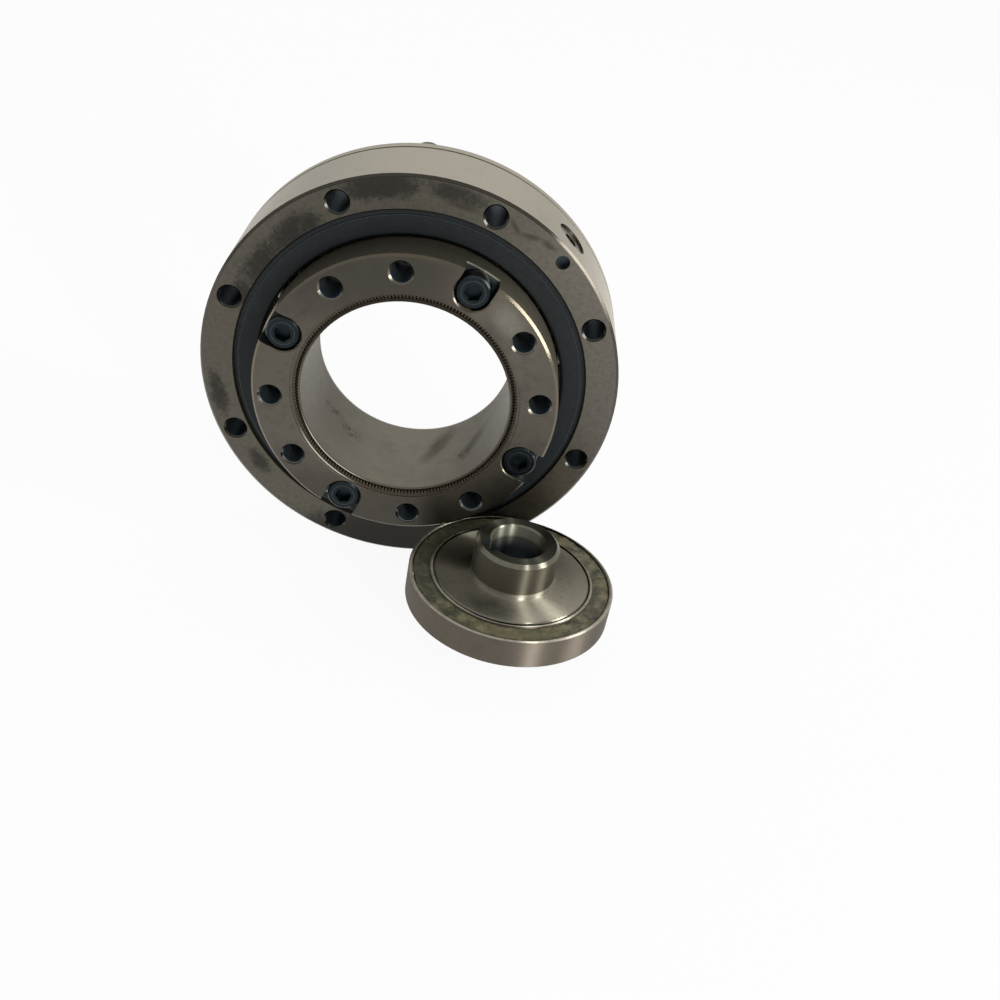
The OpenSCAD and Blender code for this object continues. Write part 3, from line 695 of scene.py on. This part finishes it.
class GEAR_OT_bearing(bpy.types.Operator):
    """Finish the inner ring, the rollers, their spacers, the loading plug and its pin"""
    bl_idname = "gear.bearing"
    bl_label = "Bearing"

    def execute(self, context):
        look = context.scene.gear_bearing
        paint(plain_steel("ground_inner_ring", look.steel, 0.25, 0.4), "inner_ring")
        paint(plain_steel("polished_rollers", look.steel, 0.08, 0.2, 0.001),
              "rollers_left", "rollers_right")
        paint(plug_finish(look), "loading_plug")
        paint(plain_steel("oiled_pin", look.pin, 0.3, 0.45), "plug_pin")
        nylon = Finish("moulded_nylon", 0.0)
        nylon.colour(nylon.mix(nylon.noise(1.5), look.spacer, look.spacer_dull))
        nylon.polish(0.35, 0.55, 0.6, detail=3.0)
        nylon.relief(nylon.noise(0.2), 0.01)
        paint(nylon, "roller_spacers")
        return {"FINISHED"}


class SealLook(bpy.types.PropertyGroup):
    """Colours of the seal and the O-rings"""
    rubber: colour_prop("Rubber", "Blue black rubber", "14191C")
    bloom: colour_prop("Bloom", "Dusty bloom on the rubber", "1C2427")
    # Painted shade: this darker colour is laid on the lip.
    worn: colour_prop("Lip", "Lip darkened by oil", "121618")
    # Painted highlight along the step near the seal's outer edge.
    highlight_ridge: colour_prop("Ridge", "Ridge polished by wiping", "2C3437")


def seal_finish(look):
    """Moulded rubber with rings of dust, a lip darkened as painted shade, and a painted highlight near
    its outer edge.
    """
    net = Finish("moulded_seal", 0.0)
    x, y, z = net.split(net.place)
    radius = net.length(x, z)
    dust = net.times(net.clouds(1.4, 0.4, 0.75, 1.0), net.spread(net.lines(radius, 0.5, 3.0), 0.2, 1.0))
    # Painted highlight near the seal's outer edge.
    highlight_ridge = net.near(radius, SEAL_R - 0.7, 0.16, 0.08)
    # Painted shade on the lip.
    lip = net.most(net.step(radius, SPLINE_R + 1.4, SPLINE_R + 1.0),
                   net.step(y, SEAL_FRONT + 0.15, SEAL_FRONT + 0.3))
    body = net.mix(lip, net.mix(dust, look.rubber, look.bloom), look.worn)
    net.colour(net.mix(net.patchy(highlight_ridge, 0.2, 1.0, 0.7, seed=9.0), body, look.highlight_ridge))
    net.polish(0.4, 0.55, 0.8, seed=4.0, shine=net.times(highlight_ridge, 0.2))
    net.join(net.surface.inputs["Specular IOR Level"], net.spread(highlight_ridge, 0.25, 0.8))
    net.relief(net.plus(net.times(net.lines(radius, 0.3), 0.4), net.times(net.noise(0.25), 0.6)), 0.02)
    return net


class GEAR_OT_seals(bpy.types.Operator):
    """Finish the front seal and the O-rings"""
    bl_idname = "gear.seals"
    bl_label = "Seals"

    def execute(self, context):
        paint(seal_finish(context.scene.gear_seal), "front_seal", "rear_oring", "front_oring")
        return {"FINISHED"}


class ScrewLook(bpy.types.PropertyGroup):
    """Colours of the socket head screws"""
    oxide: colour_prop("Black oxide", "Blackened heads of the front screws", "1C2124")
    # Worn edges, and also the painted highlight ring on the head's face.
    worn: colour_prop("Worn oxide", "Edges and ridges rubbed lighter", "454C4E")
    socket: colour_prop("Sockets", "Oily walls and floors of the sockets", "22292C")
    rear: colour_prop("Rear screws", "Duller heads of the rear screws", "6B665A")


def screw_finish(name, node, oxide, worn, socket):
    """Black oxide head, rubbed lighter round its edge, with a painted highlight ring on its face and a
    dark socket.
    """
    net = Finish(name)
    centre = (Vector(low_mm(node)) + Vector(high_mm(node))) / 2
    x, _, z = net.split(net.moved(centre))
    radius = net.length(x, z)
    facing = net.maths("ABSOLUTE", net.split(net.normal)[1])
    sloping = net.times(net.step(facing, 0.2, 0.4), net.step(facing, 0.95, 0.85))
    # Painted highlight: a bright ring on the head's face.
    highlight_ridge = net.near(radius, HEAD_HIGHLIGHT_R, 0.15, 0.0)
    rubbed = net.patchy(net.most(sloping, highlight_ridge), 0.3, 1.1, 0.6, 4.0, seed=2.0)
    body = net.mix(rubbed, net.mix(net.times(net.noise(0.7, 5.0), 0.3), oxide, worn), worn)
    net.colour(net.mix(net.step(radius, HEAD_SOCKET_R, HEAD_SOCKET_R - 0.08), body, socket))
    net.polish(0.26, 0.42, 0.6, seed=5.0)
    net.relief(net.plus(net.times(net.lines(radius, 0.15), 0.5), net.times(net.noise(0.2), 0.5)), 0.008)
    net.turned("Y", 0.3)
    return net


class GEAR_OT_screws(bpy.types.Operator):
    """Finish the eight socket head screws"""
    bl_idname = "gear.screws"
    bl_label = "Screws"

    def execute(self, context):
        look = context.scene.gear_screw
        for place in range(1, 5):
            front, rear = f"spline_screw_{place}", f"rear_screw_{place}"
            paint(screw_finish(f"oxide_{front}", front, look.oxide, look.worn, look.socket), front)
            paint(screw_finish(f"oxide_{rear}", rear, look.rear, look.worn, look.socket), rear)
        return {"FINISHED"}


# ---- the wave generator ----


class WaveLook(bpy.types.PropertyGroup):
    """Colours of the wave generator"""
    race: colour_prop("Race wall", "Ground outer wall of the bearing", "776F64")
    race_rim: colour_prop("Race rims", "Bright rims of both races", "CCC7B5")
    plate: colour_prop("Plate", "Turned front of the plug's plate", "C0BAA8")
    # Painted shade on the left side of the plate; also its oil spots and cloudy tone.
    plate_shade_and_oil: colour_prop("Plate, dull side", "Oily part of the plate", "615E52")
    hub: colour_prop("Hub", "Turned wall of the hub", "645F52")
    hub_top: colour_prop("Hub end", "End face of the hub", "56564C")
    bevel: colour_prop("Hub edges", "Bright bevel and foot of the hub", "8F8B7D")
    # Painted highlight: the bright colour near the top of the bore.
    shaft: colour_prop("Shaft bore", "Reamed bore and keyway", "9C9A8A")
    # Painted shade low in the bore and in the keyway.
    shaft_shade: colour_prop("Shaft bore, low part", "Oily lower half of the shaft bore", "363F43")
    joint: colour_prop("Joint", "Oil in the joint between the plate and the race", "1D1C17")


def race_finish(look, name, inner):
    """Ground race with a bright rim, and dark oil along its joint with the plate or with the grease."""
    net = Finish(name)
    x, y, _ = net.split(net.moved(WAVE_AXIS))
    facing = net.split(net.normal)[2]
    radius = net.length(x, y)
    up = net.step(facing, 0.3, 0.6)
    wall = net.mix(net.times(net.clouds(1.6, 0.42, 0.72, 2.0), 0.35), look.race, look.plate_shade_and_oil)
    rim = net.mix(net.times(net.clouds(0.9, 0.45, 0.7, 4.0), 0.5), look.race_rim, look.race)
    body = net.mix(up, wall, rim)
    edge_r = PLATE_R + 0.16 if inner else CAGE_R + 0.5
    net.colour(net.mix(net.step(radius, edge_r + 0.06, edge_r - 0.06), body, look.joint))
    net.polish(0.46, 0.54, 1.0, seed=6.0)
    net.relief(net.marks(net.plus(radius, net.split(net.place)[2]), 0.25), 0.003)
    net.turned("Z", 0.95)
    return net


def plate_colour(net, look, x, y, radius):
    """Colour of the turned plate: painted shade at its left side, oil spots, and dark along its joint
    with the race.
    """
    # Painted shade: the plate runs darker towards the left.
    wiped = net.step(net.plus(x, net.times(net.noise(3.0, 4.0, seed=2.0), 8.0)), -22.0, 14.0)
    oil = net.patchy(net.spots(net.flat(x, y), PLATE_OIL), 0.5, 1.2, 1.5, 4.0, seed=7.0)
    plate = net.mix(wiped, look.plate_shade_and_oil, look.plate)
    plate = net.mix(oil, plate, look.plate_shade_and_oil)
    plate = net.mix(net.times(net.clouds(0.7, 0.5, 0.75, 3.0), 0.4), plate, look.plate_shade_and_oil)
    return net.mix(net.step(radius, PLATE_R - 0.22, PLATE_R - 0.1), plate, look.joint)


def wave_plug_finish(look):
    """Turned plate and hub with a reamed bore, painted bright near its top as a highlight and dark lower
    down and in its keyway as shade.
    """
    net = Finish("turned_wave_plug")
    x, y, z = net.split(net.moved((WAVE_AXIS.x, WAVE_AXIS.y, 0)))
    facing = net.split(net.normal)[2]
    radius = net.length(x, y)
    level = net.step(facing, 0.88, 0.96)
    sloping = net.times(net.step(facing, 0.25, 0.5), net.step(facing, 0.92, 0.8))
    high = net.step(z, PLATE_TOP + 0.8, PLATE_TOP + 1.2)
    shaft = net.step(radius, SHAFT_R + 1.3, SHAFT_R + 1.25)
    upright = net.near(facing, 0.0, 0.5, 0.2)
    bore = net.step(radius, SHAFT_R + 0.1, SHAFT_R + 0.05)
    keyway = net.times(shaft, upright, net.step(radius, SHAFT_R + 0.05, SHAFT_R + 0.1))
    hub = net.mix(net.times(net.clouds(1.5, 0.4, 0.7, 5.0), 0.4), look.hub, look.plate_shade_and_oil)
    hub = net.mix(level, hub, look.hub_top)
    body = net.mix(high, plate_colour(net, look, x, y, radius), hub)
    body = net.mix(net.patchy(sloping, 0.4, 1.1, 0.8, seed=8.0), body, look.bevel)
    # Painted highlight near the top of the shaft bore, and painted shade lower down.
    bore_shade = net.plus(net.times(net.step(z, HUB_TOP - 1.8, HUB_TOP - 2.6), 0.7),
                    net.times(net.step(z, HUB_TOP - 2.6, HUB_TOP - 5.0), 0.3))
    reamed = net.mix(bore_shade, look.shaft, look.shaft_shade)
    # Painted shade in the keyway.
    body = net.mix(keyway, body, look.shaft_shade)
    net.colour(net.mix(bore, body, reamed))
    net.polish(0.48, 0.56, 1.0, seed=6.0, shine=net.times(sloping, 0.2))
    net.relief(net.marks(net.plus(radius, z), 0.2), 0.004)
    net.turned("Z", 0.95)
    return net


class GEAR_OT_wave_races(bpy.types.Operator):
    """Finish the wave generator's races and balls"""
    bl_idname = "gear.wave_races"
    bl_label = "Wave generator races"

    def execute(self, context):
        look = context.scene.gear_wave
        paint(race_finish(look, "ground_outer_race", False), "wave_outer_race")
        paint(race_finish(look, "ground_inner_race", True), "wave_inner_race")
        paint(plain_steel("polished_balls", look.race_rim, 0.05, 0.12, 0.0005), "wave_balls")
        return {"FINISHED"}


class GEAR_OT_wave_plug(bpy.types.Operator):
    """Finish the wave generator's plate and hub"""
    bl_idname = "gear.wave_plug"
    bl_label = "Wave generator plug"

    def execute(self, context):
        paint(wave_plug_finish(context.scene.gear_wave), "wave_plug")
        return {"FINISHED"}


class GreaseLook(bpy.types.PropertyGroup):
    """Size and colours of the old grease over the wave generator's cage"""
    inner_r: FloatProperty(
        name="Inner radius", description="Inner radius of the grease film, in millimetres",
        default=CAGE_R - 2.75, min=13, max=14.5)
    outer_r: FloatProperty(
        name="Outer radius", description="Outer radius of the grease film, in millimetres",
        default=CAGE_R + 0.4, min=16, max=16.5)
    height: FloatProperty(
        name="Height", description="Mean height of the film over the cage, in millimetres",
        default=0.12, min=0.05, max=0.2)
    lumps: FloatProperty(
        name="Lumps", description="Height of the lumps in the film, in millimetres",
        default=0.09, min=0, max=0.15)
    sectors: IntProperty(
        name="Sectors", description="Steps round the film", default=360, min=90, max=720)
    light: colour_prop("Light grease", "Where the film is thick", "797358")
    mid: colour_prop("Grease", "Main colour of the film", "5A5843")
    # Also darkens the film towards the left and back.
    dark: colour_prop("Dark grease", "Where the film is thin and dirty", "37372A")


def grease_finish(look):
    """Olive grease, mottled, glossy where it is smooth."""
    net = Finish("old_grease", 0.0)
    x, y, _ = net.split(net.moved(WAVE_AXIS))
    body = net.mix(net.step(net.noise(0.9, 5.0, rough=0.65, seed=1.0), 0.35, 0.65), look.dark, look.mid)
    body = net.mix(net.step(net.noise(1.8, 5.0, rough=0.65, seed=4.4), 0.44, 0.66), body, look.light)
    thick = net.patchy(net.spot(net.flat(x, y), *GREASE_THICK), 0.1, 0.9, 0.8, 5.0)
    body = net.mix(thick, body, look.light)
    # The film is darker towards the left and back.
    left = net.step(net.plus(x, net.times(y, -0.5)), -3.0, -16.0)
    net.colour(net.mix(net.times(left, 0.65), body, look.dark))
    net.polish(0.25, 0.6, 0.7, seed=3.0)
    net.surface.inputs["Specular IOR Level"].default_value = 0.3
    net.relief(net.noise(0.45, 4.0, seed=8.0), 0.05)
    return net


def grease_mesh(look):
    """A closed ring of film, turned from its half section and then made lumpy."""
    base = CAGE_TOP + 0.02
    top = CAGE_TOP + look.height
    slope = 0.1
    steps = 14
    shape = bmesh.new()
    section = [shape.verts.new((look.inner_r, 0, base))]
    for i in range(steps + 1):
        radius = look.inner_r + slope + (look.outer_r - look.inner_r - 2 * slope) * i / steps
        section.append(shape.verts.new((radius, 0, top)))
    section.append(shape.verts.new((look.outer_r, 0, base)))
    edges = [shape.edges.new(pair) for pair in zip(section, section[1:] + section[:1])]
    bmesh.ops.spin(shape, geom=section + edges, cent=(0, 0, 0), axis=(0, 0, 1),
                   angle=math.tau, steps=look.sectors, use_merge=True, use_duplicate=False)
    bmesh.ops.recalc_face_normals(shape, faces=shape.faces)
    for vert in shape.verts:
        if vert.co.z > base + 0.01:
            lump = noise.fractal(vert.co * 0.55, 0.8, 2.1, 4)
            vert.co.z = max(base + 0.03, top + look.lumps * lump)
    bmesh.ops.scale(shape, verts=shape.verts, vec=(MM, MM, MM))
    bmesh.ops.translate(shape, verts=shape.verts, vec=(WAVE_AXIS.x * MM, WAVE_AXIS.y * MM, 0))
    mesh = bpy.data.meshes.new("grease_film")
    shape.to_mesh(mesh)
    shape.free()
    mesh.shade_smooth()
    return mesh


class GEAR_OT_grease(bpy.types.Operator):
    """Finish the cage and lay a film of old grease over it"""
    bl_idname = "gear.grease"
    bl_label = "Cage and grease"

    def execute(self, context):
        look = context.scene.gear_grease
        finish = grease_finish(look)
        paint(finish, "wave_cage")
        film = bpy.data.objects.new("grease_film", grease_mesh(look))
        context.scene.collection.objects.link(film)
        film.data.materials.append(finish.material)
        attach(film, "ball_row")
        return {"FINISHED"}


# ---- the studio ----


class StudioLook(bpy.types.PropertyGroup):
    """Floor, lamps and camera"""
    floor: colour_prop("Floor", "Pale floor", "EDEDED")
    white: FloatProperty(
        name="White", description="Share of plain white in the floor where it is seen",
        default=0.93, min=0, max=1)
    sky: FloatProperty(
        name="Sky", description="Strength of the even light all round", default=0.55, min=0)
    window: FloatProperty(
        name="Window", description="Power of the tall lamp at the right, in watts", default=2.8, min=0)
    strip: FloatProperty(
        name="Strip", description="Power of the strip at the front right, in watts", default=3.0, min=0)
    back: FloatProperty(
        name="Back", description="Power of the broad lamp at the back, in watts", default=0.6, min=0)
    lens: FloatProperty(
        name="Lens", description="Focal length on a 36 mm sensor", default=41.56, min=20, max=100)


def add_lamp(name, azimuth, elevation, size, power):
    """A soft lamp at an angle right of the front and above the floor, aimed at the unit."""
    data = bpy.data.lights.new(name, "AREA")
    data.shape = "RECTANGLE"
    data.size, data.size_y = size
    data.energy = power
    lamp = bpy.data.objects.new(name, data)
    bpy.context.scene.collection.objects.link(lamp)
    a, e = math.radians(azimuth), math.radians(elevation)
    lamp.location = LAMP_DISTANCE * Vector(
        (math.sin(a) * math.cos(e), -math.cos(a) * math.cos(e), math.sin(e)))
    lamp.rotation_euler = (-lamp.location).to_track_quat("-Z", "Y").to_euler()


def add_floor(look):
    """A wide round floor, whitened where it is seen or mirrored, with faint shadows."""
    shape = bmesh.new()
    bmesh.ops.create_circle(shape, cap_ends=True, segments=96, radius=FLOOR_R)
    bmesh.ops.translate(shape, verts=shape.verts, vec=(0, 0, CAD_BOX[0].z))
    mesh = bpy.data.meshes.new("floor")
    shape.to_mesh(mesh)
    shape.free()
    floor = bpy.data.objects.new("floor", mesh)
    bpy.context.scene.collection.objects.link(floor)
    net = Finish("pale_floor", 0.0)
    net.colour(look.floor)
    net.surface.inputs["Roughness"].default_value = 0.9
    net.surface.inputs["Specular IOR Level"].default_value = 0.0
    path = net.add("ShaderNodeLightPath")
    seen = net.most(*[path.outputs[f"Is {kind} Ray"] for kind in ("Camera", "Glossy", "Transmission")])
    white = net.add("ShaderNodeEmission")
    both = net.add("ShaderNodeMixShader")
    net.join(both.inputs[0], net.times(seen, look.white))
    net.join(both.inputs[1], net.surface.outputs[0])
    net.join(both.inputs[2], white.outputs[0])
    output = next(node for node in net.tree.nodes if node.type == "OUTPUT_MATERIAL")
    net.join(output.inputs["Surface"], both.outputs[0])
    mesh.materials.append(net.material)


class GEAR_OT_studio(bpy.types.Operator):
    """Lay the floor and set the lamps, the world and the camera"""
    bl_idname = "gear.studio"
    bl_label = "Studio"

    def execute(self, context):
        scene = context.scene
        look = scene.gear_studio
        add_floor(look)
        world = bpy.data.worlds.new("studio")
        world.use_nodes = True
        sky = world.node_tree.nodes["Background"]
        sky.inputs["Color"].default_value = (1, 1, 1, 1)
        sky.inputs["Strength"].default_value = look.sky
        scene.world = world
        for name, placing in LAMPS.items():
            add_lamp(name, *placing, power=getattr(look, name))

        data = bpy.data.cameras.new("camera")
        camera = bpy.data.objects.new("camera", data)
        scene.collection.objects.link(camera)
        turn = Matrix((CAMERA_RIGHT, CAMERA_UP, -CAMERA_AHEAD)).transposed()
        camera.matrix_world = Matrix.Translation(CAMERA_PLACE) @ turn.to_4x4()
        data.lens = look.lens
        data.sensor_width = 36
        data.clip_start = 0.005
        data.clip_end = 20
        scene.camera = camera
        scene.view_settings.view_transform = "Standard"
        return {"FINISHED"}


PIECES = (GEAR_OT_outer_ring, GEAR_OT_flexspline, GEAR_OT_circular_spline, GEAR_OT_bearing, GEAR_OT_seals,
          GEAR_OT_screws, GEAR_OT_wave_races, GEAR_OT_wave_plug, GEAR_OT_grease, GEAR_OT_studio)
LOOKS = {
    "gear_ring": RingLook, "gear_flex": FlexLook, "gear_spline": SplineLook, "gear_bearing": BearingLook,
    "gear_seal": SealLook, "gear_screw": ScrewLook, "gear_wave": WaveLook, "gear_grease": GreaseLook,
    "gear_studio": StudioLook,
}


class GEAR_PT_unit(bpy.types.Panel):
    """Lists the pieces of the gear unit in the order they are finished"""
    bl_label = "Strain Wave Gear"
    bl_space_type = "VIEW_3D"
    bl_region_type = "UI"
    bl_category = "Gear Unit"

    def draw(self, context):
        for piece in PIECES:
            self.layout.operator(piece.bl_idname)
        for name, look in LOOKS.items():
            box = self.layout.box()
            box.label(text=look.__doc__)
            for key in look.__annotations__:
                box.prop(getattr(context.scene, name), key)


def register():
    for cls in (*LOOKS.values(), *PIECES, GEAR_PT_unit):
        bpy.utils.register_class(cls)
    for name, look in LOOKS.items():
        setattr(bpy.types.Scene, name, PointerProperty(type=look))


def unregister():
    for name in LOOKS:
        delattr(bpy.types.Scene, name)
    for cls in (GEAR_PT_unit, *PIECES, *LOOKS.values()):
        bpy.utils.unregister_class(cls)


def main():
    register()
    bpy.ops.gear.outer_ring()
    bpy.ops.gear.flexspline()
    bpy.ops.gear.circular_spline()
    bpy.ops.gear.bearing()
    bpy.ops.gear.seals()
    bpy.ops.gear.screws()
    bpy.ops.gear.wave_races()
    bpy.ops.gear.wave_plug()
    bpy.ops.gear.grease()
    bpy.ops.gear.studio()


if __name__ == "__main__":
    main()
